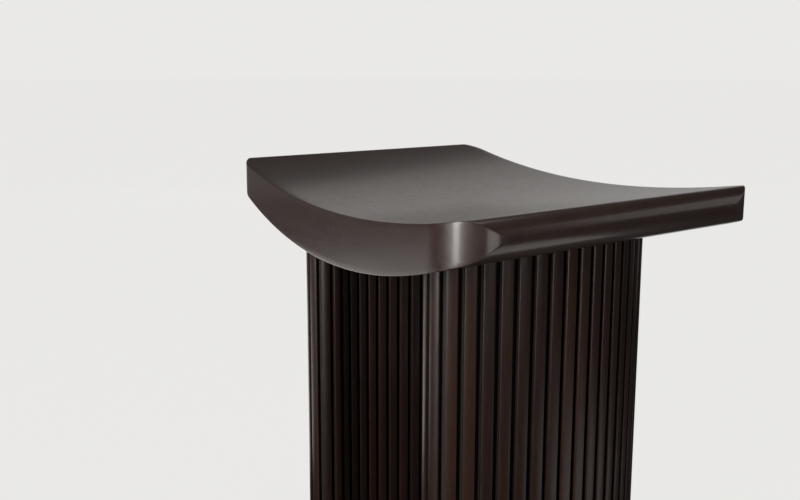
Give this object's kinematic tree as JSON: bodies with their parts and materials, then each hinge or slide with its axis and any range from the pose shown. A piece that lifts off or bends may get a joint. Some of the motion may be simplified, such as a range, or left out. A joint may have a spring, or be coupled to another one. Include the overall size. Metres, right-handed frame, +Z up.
{
  "type": "stool",
  "caption": "Low wooden stool in the form of a carved headrest: a dished seat slab with rounded noses on two curved reeded walls that face each other.",
  "frame": {"origin": "on the floor, under the middle of the seat", "axes": "+X along the seat from nose to nose, +Y across it, +Z up"},
  "size_m": [0.48, 0.358, 0.4879],
  "materials": {
    "seat_wood": "dark brown stain under satin lacquer",
    "wall_wood": "dark brown stain under satin lacquer, reeded",
    "dowel_wood": "plain beech",
    "glide": "moulded, slightly worn underneath",
    "tack": "bright drawn wire"
  },
  "bodies": {
    "root": {"left_dowel_end_stave_a": "dowel_wood", "left_dowel_end_stave_b": "dowel_wood", "left_dowel_stave_a1": "dowel_wood", "left_dowel_stave_a2": "dowel_wood", "left_dowel_stave_b1": "dowel_wood", "left_dowel_stave_b2": "dowel_wood", "left_end_stave_a": "wall_wood", "left_end_stave_b": "wall_wood", "left_glide_end_stave_a": "glide", "left_glide_end_stave_b": "glide", "left_glide_stave_a1": "glide", "left_glide_stave_b1": "glide", "left_stave_a1": "wall_wood", "left_stave_a2": "wall_wood", "left_stave_b1": "wall_wood", "left_stave_b2": "wall_wood", "left_tack_end_stave_a": "tack", "left_tack_end_stave_b": "tack", "left_tack_stave_a1": "tack", "left_tack_stave_b1": "tack", "right_dowel_end_stave_a": "dowel_wood", "right_dowel_end_stave_b": "dowel_wood", "right_dowel_stave_a1": "dowel_wood", "right_dowel_stave_a2": "dowel_wood", "right_dowel_stave_b1": "dowel_wood", "right_dowel_stave_b2": "dowel_wood", "right_end_stave_a": "wall_wood", "right_end_stave_b": "wall_wood", "right_glide_end_stave_a": "glide", "right_glide_end_stave_b": "glide", "right_glide_stave_a1": "glide", "right_glide_stave_b1": "glide", "right_stave_a1": "wall_wood", "right_stave_a2": "wall_wood", "right_stave_b1": "wall_wood", "right_stave_b2": "wall_wood", "right_tack_end_stave_a": "tack", "right_tack_end_stave_b": "tack", "right_tack_stave_a1": "tack", "right_tack_stave_b1": "tack", "seat_board_1": "seat_wood", "seat_board_2": "seat_wood", "seat_board_3": "seat_wood", "seat_board_4": "seat_wood", "seat_board_5": "seat_wood", "seat_board_6": "seat_wood"}
  },
  "joints": []
}
